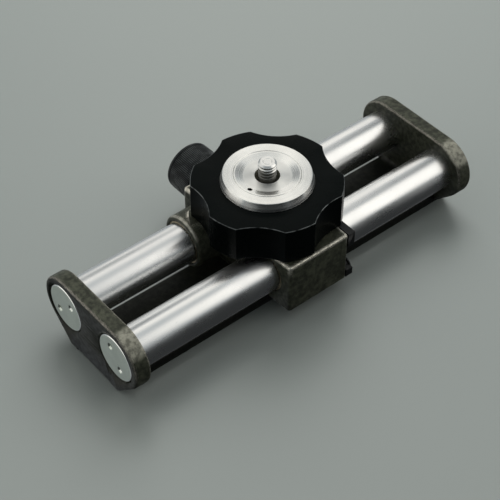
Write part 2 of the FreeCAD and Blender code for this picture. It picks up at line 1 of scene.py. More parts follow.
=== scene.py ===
"""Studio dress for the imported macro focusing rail.

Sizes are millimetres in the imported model's frame: X runs along the guide tubes,
Y points to the clamp knob and Z is up. Meshes are written in metres.
"""

import logging
import math
from dataclasses import dataclass
from enum import Enum

import bmesh
import bpy
import numpy as np
from mathutils import Matrix, Vector


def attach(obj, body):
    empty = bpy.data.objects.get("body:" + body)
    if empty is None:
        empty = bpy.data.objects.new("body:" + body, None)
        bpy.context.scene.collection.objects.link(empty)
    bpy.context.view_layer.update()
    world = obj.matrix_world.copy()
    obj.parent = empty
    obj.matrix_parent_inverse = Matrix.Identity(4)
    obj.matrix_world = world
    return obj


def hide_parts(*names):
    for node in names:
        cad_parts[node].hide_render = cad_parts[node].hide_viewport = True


LOG = logging.getLogger("focusing_rail")
MM = 0.001
CREASE = 28.0
Array = np.ndarray
Span = tuple[float, float]
Colour = tuple[float, float, float]
Piece = bpy.types.Object
Mesh = bpy.types.Mesh
Material = bpy.types.Material
Socket = bpy.types.NodeSocket
Value = float | Colour | Socket
SOCKETS = {
    "base_color": "Base Color",
    "metallic": "Metallic",
    "roughness": "Roughness",
    "specular": "Specular IOR Level",
    "normal": "Normal",
    "anisotropic": "Anisotropic",
    "tangent": "Tangent",
}

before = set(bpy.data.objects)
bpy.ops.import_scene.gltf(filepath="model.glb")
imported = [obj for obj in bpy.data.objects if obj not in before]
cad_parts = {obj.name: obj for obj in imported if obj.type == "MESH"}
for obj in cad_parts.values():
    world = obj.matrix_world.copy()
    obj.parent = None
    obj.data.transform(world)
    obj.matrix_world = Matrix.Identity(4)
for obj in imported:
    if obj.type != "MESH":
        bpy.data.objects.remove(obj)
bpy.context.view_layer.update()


# Meshes worked out with numpy


class Axis(Enum):
    """Directions that a piece made about Z can be laid along, as rotations."""

    UP = ((1, 0, 0), (0, 1, 0), (0, 0, 1))
    LEFT = ((0, 0, -1), (0, 1, 0), (1, 0, 0))
    RIGHT = ((0, 0, 1), (1, 0, 0), (0, 1, 0))
    REAR = ((0, 1, 0), (0, 0, 1), (1, 0, 0))


@dataclass
class Profile:
    """Rounded section of a piece, with what each of its points carries.

    Attributes:
        across: distance from the axis.
        along: height on the axis.
        ripple: share of the piece's ripple that a point follows.
        wear: one on the middle of a rounded edge, zero elsewhere.
    """

    across: Array
    along: Array
    ripple: Array
    wear: Array

    @staticmethod
    def rounded(corners: list[tuple[float, ...]], steps: int = 6) -> "Profile":
        """Section whose corners are arcs that touch both neighbouring runs.

        The arc's centre lies on the corner's bisector, at the radius over the sine
        of half the corner's angle. Its points turn evenly from one touching point to
        the other, as the sines of the two remaining shares of the turn.

        Args:
            corners: rows of across, along, arc radius and, if wanted, ripple share.
            steps: points on each arc.

        Returns:
            The section, one run of points from the first corner to the last.
        """
        table = np.array([tuple(row) + (0.0,) * (4 - len(row)) for row in corners], float)
        spot, radius = table[:, :2], table[:, 2]
        back = unit(np.roll(spot, 1, axis=0) - spot)
        ahead = unit(np.roll(spot, -1, axis=0) - spot)
        half = np.arccos(np.clip((back * ahead).sum(axis=1), -1, 1)) / 2
        reach = (radius / np.maximum(np.tan(half), 1e-6))[:, None]
        centre = spot + unit(back + ahead) * (radius / np.maximum(np.sin(half), 1e-6))[:, None]
        turn = np.maximum(math.pi - 2 * half, 1e-6)[:, None, None]
        share = np.linspace(0, 1, steps)[None, :, None]
        start = (spot + back * reach - centre)[:, None, :]
        end = (spot + ahead * reach - centre)[:, None, :]
        arc = (np.sin((1 - share) * turn) * start + np.sin(share * turn) * end) / np.sin(turn)
        points = (centre[:, None, :] + arc).reshape(-1, 2)
        wear = np.sin(math.pi * share[0, :, 0])[None, :] * (radius > 0)[:, None]
        return Profile(points[:, 0], points[:, 1], np.repeat(table[:, 3], steps), wear.reshape(-1))


def unit(rows: Array) -> Array:
    """Rows scaled to length one."""
    return rows / np.maximum(np.linalg.norm(rows, axis=-1, keepdims=True), 1e-9)


def circle(sides: int) -> Array:
    """Angles in radians, evenly spread round a circle."""
    return np.linspace(0, 2 * math.pi, sides, endpoint=False)


def around(radius: Array, height: Array, angles: Array) -> Array:
    """Points (r cos a, r sin a, h), with a row for each height h and a column for each angle a."""
    rows = np.broadcast_to(height[:, None], (len(height), len(angles)))
    return np.stack([radius * np.cos(angles), radius * np.sin(angles), rows], axis=-1)


def merged(mesh: Mesh, reach: float, thin: float = 0.0, outward: bool = False) -> None:
    """Join the points of a mesh that lie together.

    Args:
        mesh: the mesh in work.
        reach: how close, in metres, points are joined.
        thin: length in metres below which an edge is dissolved, or zero for none.
        outward: whether its faces are turned outwards too.
    """
    work = bmesh.new()
    work.from_mesh(mesh)
    bmesh.ops.remove_doubles(work, verts=work.verts, dist=reach)
    if thin:
        bmesh.ops.dissolve_degenerate(work, edges=work.edges, dist=thin)
    if outward:
        bmesh.ops.recalc_face_normals(work, faces=work.faces)
    work.to_mesh(mesh)
    work.free()


def placed(name: str, mesh: Mesh, crease: float) -> Piece:
    """Put a mesh in the scene as a smooth object with sharp creases.

    Args:
        name: the object's name.
        mesh: its mesh, already in place.
        crease: angle in degrees above which an edge shades sharp.

    Returns:
        The object, at the origin.
    """
    mesh.polygons.foreach_set("use_smooth", np.ones(len(mesh.polygons), bool))
    mesh.set_sharp_from_angle(angle=math.radians(crease))
    piece = bpy.data.objects.new(name, mesh)
    bpy.context.scene.collection.objects.link(piece)
    return piece


def bored(piece: Piece, drill: Piece, crease: float) -> Piece:
    """Cut a drill's shape out of a piece and drop the drill.

    Args:
        piece: the piece with its mesh in place.
        drill: a closed shape, in place too.
        crease: angle in degrees above which an edge shades sharp.

    Returns:
        The piece, with the holes in its mesh.
    """
    cut = piece.modifiers.new("bore", "BOOLEAN")
    cut.operation = "DIFFERENCE"
    cut.solver = "EXACT"
    cut.object = drill
    bpy.context.view_layer.update()
    whole = piece.evaluated_get(bpy.context.evaluated_depsgraph_get())
    mesh = bpy.data.meshes.new_from_object(whole)
    mesh.name = piece.name
    piece.modifiers.remove(cut)
    piece.data = mesh
    bpy.data.objects.remove(drill, do_unlink=True)
    mesh.set_sharp_from_angle(angle=math.radians(crease))
    return piece


def cast_copy(node: str, name: str) -> Piece:
    """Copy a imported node, joined up and with its flat faces shaded flat.

    Args:
        node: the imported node's name.
        name: the copy's name.

    Returns:
        The copy, at the origin.
    """
    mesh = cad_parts[node].data.copy()
    mesh.name = name
    mesh.materials.clear()
    merged(mesh, 1e-6)
    piece = placed(name, mesh, CREASE)
    flat = piece.modifiers.new("flat_faces", "WEIGHTED_NORMAL")
    flat.mode = "FACE_AREA"
    flat.weight = 100
    flat.keep_sharp = True
    return piece


class Shell:
    """Closed mesh that grows grid by grid and becomes one Blender object."""

    def __init__(self, name: str, crease: float = CREASE) -> None:
        """Start an empty shell.

        Args:
            name: the object's name.
            crease: angle in degrees above which an edge shades sharp.
        """
        self.name = name
        self.crease = crease
        self.points: list[Array] = []
        self.wear: list[Array] = []
        self.faces: list[Array] = []
        self.count = 0

    def grid(
        self,
        points: Array,
        wear: Array,
        ring: bool = True,
        axis: Axis = Axis.UP,
        origin: tuple[float, float, float] = (0, 0, 0),
    ) -> "Shell":
        """Add a grid of points as quads.

        Args:
            points: shape (rows, columns, 3), made about Z.
            wear: one value a row, or one a point.
            ring: whether the last row joins the first. Columns always close.
            axis: direction that takes the place of Z.
            origin: where the grid's own origin goes.

        Returns:
            The shell itself.
        """
        rows, columns = points.shape[:2]
        index = np.arange(rows * columns).reshape(rows, columns) + self.count
        index = np.concatenate([index, index[:, :1]], axis=1)
        if ring:
            index = np.concatenate([index, index[:1]], axis=0)
        quads = np.stack([index[:-1, :-1], index[:-1, 1:], index[1:, 1:], index[1:, :-1]], axis=-1)
        laid = points.reshape(-1, 3) @ np.array(axis.value, float).T + np.array(origin, float)
        self.points.append(laid)
        self.wear.append(np.broadcast_to(wear.reshape(rows, -1), (rows, columns)).reshape(-1))
        self.faces.append(quads.reshape(-1, 4))
        self.count += rows * columns
        return self

    def turn(
        self,
        profile: Profile,
        angles: Array,
        ripple: Array | float = 0.0,
        ring: bool = True,
        crest_wear_highlight: float = 0.0,
        axis: Axis = Axis.UP,
        origin: tuple[float, float, float] = (0, 0, 0),
    ) -> "Shell":
        """Add a turned surface: the section's distance from the axis, carried round it.

        A point at angle a lies at (r cos a, r sin a, along), where r is its distance
        across plus its share of the ripple at that angle.

        Args:
            profile: the section.
            angles: the columns' angles in radians.
            ripple: what each column adds to a radius whose share is one.
            ring: whether the section is a loop.
            crest_wear_highlight: wear that the ripple's crests get, less towards its roots, which also paints
                a highlight on them.
            axis: direction that takes the place of Z.
            origin: where the axis starts.

        Returns:
            The shell itself.
        """
        ripple = ripple + np.zeros_like(angles)
        radius = profile.across[:, None] + profile.ripple[:, None] * ripple
        crest = 1 - (ripple.max() - ripple) / max(np.ptp(ripple), 1e-9)
        wear = np.maximum(profile.wear[:, None], crest_wear_highlight * profile.ripple[:, None] * crest)
        return self.grid(around(radius, profile.along, angles), wear, ring, axis, origin)

    def build(self) -> Piece:
        """Merge the grids' shared points and make the object.

        Returns:
            The new object, in the scene and shaded smooth up to its crease angle.
        """
        mesh = bpy.data.meshes.new(self.name)
        mesh.from_pydata(np.concatenate(self.points) * MM, [], np.concatenate(self.faces).tolist())
        layer = mesh.attributes.new("wear", "FLOAT", "POINT")
        layer.data.foreach_set("value", np.concatenate(self.wear).astype(np.float32))
        merged(mesh, 2e-6, 1e-7, outward=True)
        return placed(self.name, mesh, self.crease)


# Finishes


class Wiring:
    """Node tree, with short calls for the nodes that finishes and surround share."""

    def __init__(self, tree: bpy.types.NodeTree) -> None:
        """Work on one tree."""
        self.tree = tree

    def add(
        self, kind: str, feeds: dict[str | int, Value] | None = None, **settings: str | int | bool
    ) -> bpy.types.Node:
        """Add a node to the tree.

        Args:
            kind: the node's type, without the words that all types start with.
            feeds: what goes into its inputs, by their names or numbers.
            settings: its properties.

        Returns:
            The node.
        """
        node = self.tree.nodes.new(f"ShaderNode{kind}")
        for key, setting in settings.items():
            setattr(node, key, setting)
        for key, value in (feeds or {}).items():
            self.feed(node.inputs[key], value)
        return node

    def feed(self, socket: Socket, value: Value) -> None:
        """Link an output to a socket, or set a constant on it.

        Args:
            socket: the input.
            value: an output, a number, a vector or a colour.
        """
        if isinstance(value, Socket):
            self.tree.links.new(value, socket)
        elif isinstance(value, tuple) and socket.type == "RGBA":
            socket.default_value = (*value, 1.0)
        else:
            socket.default_value = value

    def remap(self, value: Socket, low: float, high: float, start: float = 0.0, end: float = 1.0) -> Socket:
        """Ease a value from low..high to start..end, held at both ends."""
        feeds = {"Value": value, "From Min": low, "From Max": high, "To Min": start, "To Max": end}
        return self.add("MapRange", feeds, interpolation_type="SMOOTHSTEP").outputs["Result"]

    def math(self, kind: str, first: float | Socket, second: float | Socket = 0.0) -> Socket:
        """Combine two values with one arithmetic step."""
        return self.add("Math", {0: first, 1: second}, operation=kind).outputs["Value"]

    def dot(self, where: Socket, direction: Colour) -> Socket:
        """How far a place lies along a direction."""
        return self.add("VectorMath", {0: where, 1: direction}, operation="DOT_PRODUCT").outputs["Value"]

    def mix(self, share: Socket, first: Colour | Socket, second: Colour | Socket) -> Socket:
        """Blend two colours by a share."""
        return self.add("Mix", {0: share, 6: first, 7: second}, data_type="RGBA").outputs[2]

    def choose(self, share: Socket, first: Socket, second: Socket) -> Socket:
        """Blend two shaders by a share."""
        return self.add("MixShader", {0: share, 1: first, 2: second}).outputs[0]


class Bench(Wiring):
    """Material in work, with what its finish reads from the piece."""

    def __init__(self, name: str) -> None:
        """Start a material with one Principled shader.

        Args:
            name: the material's name.
        """
        self.material = bpy.data.materials.new(name)
        self.material.use_nodes = True
        super().__init__(self.material.node_tree)
        self.tree.nodes.clear()
        self.shader = self.add("BsdfPrincipled")
        self.output = self.add("OutputMaterial", {"Surface": self.shader.outputs["BSDF"]})

    def set(self, **values: Value) -> None:
        """Set or link the shader's sockets, by the short names of the table."""
        for key, value in values.items():
            self.feed(self.shader.inputs[SOCKETS[key]], value)

    def place(self, scale: Colour = (1, 1, 1)) -> Socket:
        """Object coordinates in metres, stretched by a scale along each axis."""
        source = self.add("TexCoord").outputs["Object"]
        return self.add("Mapping", {"Vector": source, "Scale": scale}).outputs["Vector"]

    def coordinate(self, axis: str) -> Socket:
        """Object coordinate in millimetres along X, Y or Z, where Z is the height above the floor."""
        return self.add("SeparateXYZ", {0: self.place((1000, 1000, 1000))}).outputs[axis]

    def from_tubes(self) -> Socket:
        """Distance from the nearer tube's axis, by Pythagoras in the YZ plane.

        Returns:
            The distance in millimetres.
        """
        beside = self.math("SUBTRACT", self.math("ABSOLUTE", self.coordinate("Y")), RailFrame.spacing / 2)
        above = self.math("SUBTRACT", self.coordinate("Z"), RailFrame.height)
        squares = self.math("ADD", self.math("POWER", beside, 2.0), self.math("POWER", above, 2.0))
        return self.math("SQRT", squares)

    def noise(self, where: Socket, size: float, detail: float = 3.0, rough: float = 0.55) -> Socket:
        """Noise from 0 to 1 whose blotches are about a given size across.

        Args:
            where: coordinates in metres.
            size: blotch size in millimetres.
            detail: octaves.
            rough: strength of the finer octaves.

        Returns:
            The noise value.
        """
        feeds = {"Vector": where, "Scale": 1 / (size * MM), "Detail": detail, "Roughness": rough}
        return self.add("TexNoise", feeds).outputs["Fac"]

    def worn(self) -> Socket:
        """The wear that the piece's rounded edges carry."""
        return self.add("Attribute", attribute_name="wear").outputs["Fac"]

    def closeness(self, reach: float, within: bool) -> Socket:
        """How much of the piece's own surface lies near a point.

        Args:
            reach: how far to look, in millimetres.
            within: look through the metal, which finds outward edges. Otherwise look
                over the surface, which finds grooves and holes.

        Returns:
            Zero on open faces, rising towards one.
        """
        look = {"samples": 8, "inside": within, "only_local": True}
        open_share = self.add("AmbientOcclusion", {"Distance": reach * MM}, **look).outputs["AO"]
        return self.math("SUBTRACT", 1.0, open_share)

    def bump(self, height: Socket, depth: float, strength: float) -> Socket:
        """Normal of a surface raised by a height times a depth in millimetres."""
        feeds = {"Height": height, "Distance": depth * MM, "Strength": strength}
        return self.add("Bump", feeds).outputs["Normal"]


@dataclass(frozen=True)
class MottledCasting:
    """Bead-blasted casting with a thin mottled olive coat, rubbed bright on its edges.

    Attributes:
        name: the material's name.
        metal: the bare metal on rubbed edges.
        edge_reach: how thin the metal is, in millimetres, where an edge is felt.
        rubbed: closeness of an edge at which bare metal starts, and at which it is full.
        rubbed_above: height in millimetres above which edges are rubbed.
        worn_highlight: share of the lighter coat on the plates' front shoulders, worn thin and painted
            lighter as a highlight.
        shadow: the coat's darker tone.
        patch: its lighter blotches.
        low_shade: painted shade, the coat's darker tone low down, where the bar and the plates' feet lie in
            shade.
        even: the end plates' outer faces, a plainer coat painted darker as shade.
        thin: the coat where hands have worn it thin, painted lighter as a highlight too.
        low_shade_heights: heights in millimetres between which the painted shade low down ends.
        shoulder: distances along the leaning line between which the worn coat with its painted highlight
            starts.
        outer_face: distances from the rail's middle between which the plainer, darker-painted coat starts.
        tube_seat: distances from a tube's axis between which rubbing starts.
    """

    name: str
    metal: Colour = (0.78, 0.73, 0.64)
    edge_reach: float = 1.0
    rubbed: Span = (0.15, 0.25)
    rubbed_above: float = 18.0
    worn_highlight: float = 0.0
    shadow: Colour = (0.020, 0.022, 0.015)
    patch: Colour = (0.064, 0.068, 0.047)
    low_shade: Colour = (0.004, 0.0048, 0.0038)
    even: Colour = (0.0135, 0.0140, 0.0095)
    thin: Colour = (0.30, 0.295, 0.24)
    low_shade_heights: Span = (3.0, 7.0)
    shoulder: Span = (31.5, 32.7)
    outer_face: Span = (73.7, 74.4)
    tube_seat: Span = (9.3, 9.8)

    def build(self) -> Material:
        """Mix the finish.

        Returns:
            The material.
        """
        bench = Bench(self.name)
        where = bench.place()
        blotch = bench.noise(where, 1.7, 4.0, 0.60)
        cloud = bench.noise(where, 8.0, 2.0, 0.5)
        grain = bench.noise(where, 0.35, 3.0, 0.6)
        tone = bench.math("ADD", bench.math("MULTIPLY", blotch, 0.75), bench.math("MULTIPLY", cloud, 0.25))
        coat = bench.mix(bench.remap(tone, 0.36, 0.68), self.shadow, self.patch)
        # Painted shade: the coat turns darker towards the floor, as the shade under the tubes does.
        low_shade_share = bench.remap(bench.coordinate("Z"), *self.low_shade_heights, 0.9, 0.0)
        coat = bench.mix(low_shade_share, coat, self.low_shade)
        # Painted highlight and wear: the plates' front upper shoulders get a lighter, worn-thin coat.
        worn = bench.remap(self.toward_shoulder(bench), *self.shoulder, 0.0, self.worn_highlight)
        worn = bench.math("MULTIPLY", worn, bench.remap(blotch, 0.36, 0.62, 0.40, 1.0))
        coat = bench.mix(worn, coat, self.thin)
        # Painted shade: the end plates' outer faces, turned from the light, get a darker plain coat.
        off_centre = bench.math("ABSOLUTE", bench.coordinate("X"))
        coat = bench.mix(bench.remap(off_centre, *self.outer_face, 0.0, 0.85), coat, self.even)
        uneven = bench.math("MULTIPLY", bench.math("SUBTRACT", blotch, 0.55), 0.22)
        rub = bench.math("ADD", bench.closeness(self.edge_reach, True), uneven)
        bright = bench.remap(rub, *self.rubbed, 0.0, 0.9)
        bright = bench.math("MULTIPLY", bright, bench.remap(bench.from_tubes(), *self.tube_seat))
        handled = bench.remap(bench.coordinate("Z"), self.rubbed_above - 4.0, self.rubbed_above)
        bright = bench.math("MULTIPLY", bright, handled)
        bench.set(
            base_color=bench.mix(bright, coat, self.metal),
            metallic=bright,
            roughness=bench.remap(tone, 0.35, 0.65, 0.52, 0.36),
            specular=0.20,
            normal=bench.bump(bench.math("ADD", grain, bench.math("MULTIPLY", blotch, 1.5)), 0.05, 0.7),
        )
        return bench.material

    def toward_shoulder(self, bench: Bench) -> Socket:
        """Distance in millimetres along a line that leans 30 degrees from upright to the front."""
        return bench.dot(bench.place(), (0, -500.0, 866.0))


@dataclass(frozen=True)
class BlackCoat:
    """Smooth black coat over machined metal, with thin grey lines on its edges.

    Attributes:
        name: the material's name.
        colour: the coat's colour.
        edge: the metal on a rubbed edge.
        rubbed: how much of that metal shows on a fully worn edge.
        roughness: the coat's middle roughness.
        gloss: strength of its plain reflection, where a half is that of plastic.
    """

    name: str
    colour: Colour = (0.0010, 0.0018, 0.0017)
    edge: Colour = (0.30, 0.32, 0.32)
    rubbed: float = 0.45
    roughness: float = 0.28
    gloss: float = 0.038

    def build(self) -> Material:
        """Mix the finish.

        Returns:
            The material.
        """
        bench = Bench(self.name)
        where = bench.place()
        haze = bench.noise(where, 9.0, 4.0, 0.6)
        grain = bench.noise(where, 0.30, 2.0, 0.5)
        patchy = bench.remap(bench.noise(where, 3.5, 3.0), 0.3, 0.6, 0.6, 1.0)
        rub = bench.math("MULTIPLY", bench.worn(), patchy)
        bright = bench.remap(rub, 0.5, 0.98, 0.0, self.rubbed)
        lifted = tuple(value * 1.8 + 0.0008 for value in self.colour)
        bench.set(
            base_color=bench.mix(bright, bench.mix(haze, self.colour, lifted), self.edge),
            metallic=bright,
            roughness=bench.remap(haze, 0.3, 0.7, self.roughness - 0.05, self.roughness + 0.07),
            specular=self.gloss,
            normal=bench.bump(grain, 0.006, 0.5),
        )
        return bench.material


@dataclass(frozen=True)
class GroundChrome:
    """Hard chrome on a drawn tube, with faint streaks along it and a few specks.

    Attributes:
        name: the material's name.
        colour: the clean chrome.
        dull: its colour in the streaks.
        roughness: its middle roughness.
    """

    name: str
    colour: Colour = (0.90, 0.90, 0.89)
    dull: Colour = (0.74, 0.75, 0.76)
    roughness: float = 0.27

    def build(self) -> Material:
        """Mix the finish.

        Returns:
            The material.
        """
        bench = Bench(self.name)
        streaks = bench.noise(bench.place((0.03, 1, 1)), 0.45, 3.0, 0.6)
        smudge = bench.noise(bench.place((0.5, 1, 1)), 9.0, 4.0, 0.6)
        speck = bench.remap(bench.noise(bench.place((0.7, 1, 1)), 0.8, 1.0, 0.4), 0.74, 0.80, 0.0, 0.7)
        tint = bench.math("MAXIMUM", bench.remap(streaks, 0.62, 0.78, 0.0, 0.4), speck)
        bench.set(
            base_color=bench.mix(tint, self.colour, self.dull),
            metallic=1.0,
            roughness=bench.remap(smudge, 0.3, 0.75, self.roughness - 0.03, self.roughness + 0.06),
            normal=bench.bump(streaks, 0.001, 0.3),
        )
        return bench.material


class Lay(Enum):
    """Which way the tool marks of a machined face run."""

    RINGS_Z = "rings about Z"
    RINGS_X = "rings about a tube"
    PLAIN = "none"


@dataclass(frozen=True)
class MachinedMetal:
    """Bare machined metal whose tool marks follow the way it was turned.

    Attributes:
        name: the material's name.
        colour: the clean metal.
        roughness: its middle roughness.
        lay: which way the tool marks run.
        depth: the tool marks' height in millimetres.
        crevice_shade: colour painted as shade in grooves and holes, and low down round the screw.
        shade_reach: how near in millimetres a groove's walls are, for the painted shade to show.
        shut: closeness of a groove's walls at which the painted shade starts, and at which it is full.
        shaded_below: height in millimetres below which the metal round the screw is dull, painted darker as
            shade.
        satin: roughness that the middle of a turned face has more than its rim.
        edge_shine: how polished its rounded edges are.
        drawn_out: how far turned marks spread a reflection across themselves.
        polished: the metal on a polished edge.
        marks: spacing of the tool marks in millimetres.
        shade_edge: distances from the axis in metres between which the painted shade ends.
        satin_edge: distances from the axis in metres between which the satin middle ends.
    """

    name: str
    colour: Colour
    roughness: float
    lay: Lay = Lay.PLAIN
    depth: float = 0.006
    crevice_shade: Colour = (0.045, 0.042, 0.030)
    shade_reach: float = 0.8
    shut: Span = (0.34, 0.72)
    shaded_below: float = -10.0
    satin: float = 0.0
    edge_shine: float = 0.0
    drawn_out: float = 0.0
    polished: Colour = (0.96, 0.96, 0.94)
    marks: float = 0.35
    shade_edge: Span = (0.0044, 0.0046)
    satin_edge: Span = (0.0079, 0.0085)

    def build(self) -> Material:
        """Mix the finish.

        Returns:
            The material.
        """
        bench = Bench(self.name)
        where = bench.place()
        reach = self.reach(bench, where)
        grain = bench.noise(where, 0.5, 3.0, 0.6)
        lines = grain if self.lay is Lay.PLAIN else self.rings(bench, reach)
        uneven = bench.remap(bench.noise(where, 6.0, 3.0, 0.6), 0.35, 0.7)
        clean = bench.mix(uneven, self.colour, tuple(value * 0.92 for value in self.colour))
        shine = bench.remap(bench.worn(), 0.1, 0.8, 0.0, self.edge_shine)
        clean = bench.mix(shine, clean, self.polished)
        # Painted shade: grooves and holes darken by how close their walls are.
        groove = bench.remap(bench.closeness(self.shade_reach, False), *self.shut)
        # Painted shade: metal low in the disc's bore and on the screw's lower part turns darker.
        low = bench.remap(bench.coordinate("Z"), self.shaded_below, self.shaded_below + 0.3, 0.85, 0.0)
        low = bench.math("MULTIPLY", low, bench.remap(reach, *self.shade_edge, 1.0, 0.0))
        painted_shade = bench.math("MAXIMUM", groove, low)
        fine = bench.remap(lines, 0.2, 0.8, -0.06, 0.08)
        inner = bench.remap(reach, *self.satin_edge, self.satin, 0.0)
        ground = bench.remap(shine, 0.0, 1.0, self.roughness, 0.5 * self.roughness)
        bench.set(
            base_color=bench.mix(painted_shade, clean, self.crevice_shade),
            metallic=bench.remap(painted_shade, 0.3, 1.0, 1.0, 0.3),
            roughness=bench.math("ADD", bench.math("ADD", fine, inner), ground),
            normal=bench.bump(lines, self.depth, 0.6),
        )
        if self.drawn_out:
            bench.set(anisotropic=self.drawn_out, tangent=self.across_marks(bench, where))
        return bench.material

    def flattened(self, bench: Bench, where: Socket) -> Socket:
        """Coordinates without the one along the turning axis."""
        kept = (0, 1, 1) if self.lay is Lay.RINGS_X else (1, 1, 0)
        return bench.add("VectorMath", {0: where, 1: kept}, operation="MULTIPLY").outputs["Vector"]

    def reach(self, bench: Bench, where: Socket) -> Socket:
        """Distance from the turning axis in metres."""
        flat = self.flattened(bench, where)
        return bench.add("VectorMath", {0: flat}, operation="LENGTH").outputs["Value"]

    def rings(self, bench: Bench, reach: Socket) -> Socket:
        """Noise that depends on the distance from the turning axis alone."""
        feeds = {"W": reach, "Scale": 1 / (self.marks * MM), "Detail": 3.0}
        return bench.add("TexNoise", feeds, noise_dimensions="1D").outputs["Fac"]

    def across_marks(self, bench: Bench, where: Socket) -> Socket:
        """Direction away from the turning axis, which lies across the rings of its tool marks."""
        turned = {"vector_type": "VECTOR", "convert_from": "OBJECT", "convert_to": "WORLD"}
        return bench.add("VectorTransform", {0: self.flattened(bench, where)}, **turned).outputs[0]


@dataclass(frozen=True)
class Finishes:
    """Every finish of the rail, made once."""

    casting: Material
    block: Material
    wheel: Material
    knob: Material
    cover: Material
    chrome: Material
    plug: Material
    disc: Material
    screw: Material
    pin: Material
    steel: Material
    bronze: Material
    brass: Material

    @staticmethod
    def mixed() -> "Finishes":
        """Mix every finish.

        Returns:
            All the materials.
        """
        kinds = {
            "casting": MottledCasting("mottled_olive_casting", worn_highlight=0.95),
            "block": MottledCasting("rubbed_olive_casting", (0.80, 0.77, 0.67), 1.2, (0.05, 0.15), 25.6),
            "wheel": BlackCoat("black_anodised_wheel"),
            "knob": BlackCoat(
                "black_knurled_knob", (0.008, 0.0095, 0.010), (0.26, 0.28, 0.28), roughness=0.42, gloss=0.20
            ),
            "cover": BlackCoat("black_painted_cover", (0.006, 0.0066, 0.0066), roughness=0.45, gloss=0.3),
            "chrome": GroundChrome("ground_chrome"),
            "plug": MachinedMetal(
                "satin_plug", (0.74, 0.80, 0.70), 0.32, depth=0.003, shade_reach=0.45, edge_shine=0.9
            ),
            "disc": MachinedMetal(
                "turned_aluminium", (0.94, 0.94, 0.91), 0.25, Lay.RINGS_Z, depth=0.003,
                crevice_shade=(0.20, 0.20, 0.12), shade_reach=0.7, shaded_below=42.7, satin=0.14, drawn_out=0.85,
            ),
            "screw": MachinedMetal(
                "camera_screw_steel", (0.86, 0.86, 0.84), 0.22, crevice_shade=(0.030, 0.028, 0.016),
                shade_reach=1.0, shut=(0.22, 0.46), shaded_below=46.2,
            ),
            "pin": BlackCoat("blackened_pin", rubbed=0.0),
            "steel": MachinedMetal("machined_steel", (0.45, 0.45, 0.45), 0.34, Lay.RINGS_Z),
            "bronze": MachinedMetal("bearing_bronze", (0.50, 0.43, 0.30), 0.36, Lay.RINGS_X),
            "brass": MachinedMetal("pad_brass", (0.60, 0.47, 0.22), 0.32),
        }
        return Finishes(**{use: kind.build() for use, kind in kinds.items()})


# Sub-assemblies


PLUG_PLACES = (
    ("left", "front", Axis.LEFT, -1, 31.0),
    ("left", "rear", Axis.LEFT, 1, 128.0),
    ("right", "front", Axis.RIGHT, -1, -70.0),
    ("right", "rear", Axis.RIGHT, 1, -15.0),
)


def dress(
    piece: Piece, finish: Material, body: str, nodes: tuple[str, ...]
) -> Piece:
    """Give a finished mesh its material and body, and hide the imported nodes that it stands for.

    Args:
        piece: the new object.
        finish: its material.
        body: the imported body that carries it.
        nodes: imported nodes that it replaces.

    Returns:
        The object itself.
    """
    piece.data.materials.append(finish)
    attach(piece, body)
    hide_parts(*nodes)
    LOG.info("%s: %d faces on %s", piece.name, len(piece.data.polygons), body)
    return piece


def coat_node(node: str, finish: Material) -> None:
    """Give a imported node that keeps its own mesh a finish.

    Args:
        node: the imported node's name.
        finish: its material.
    """
    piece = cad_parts[node]
    if not piece.material_slots:
        piece.data.materials.append(finish)
    for place in piece.material_slots:
        place.material = finish
    LOG.info("%s keeps its packed mesh", node)


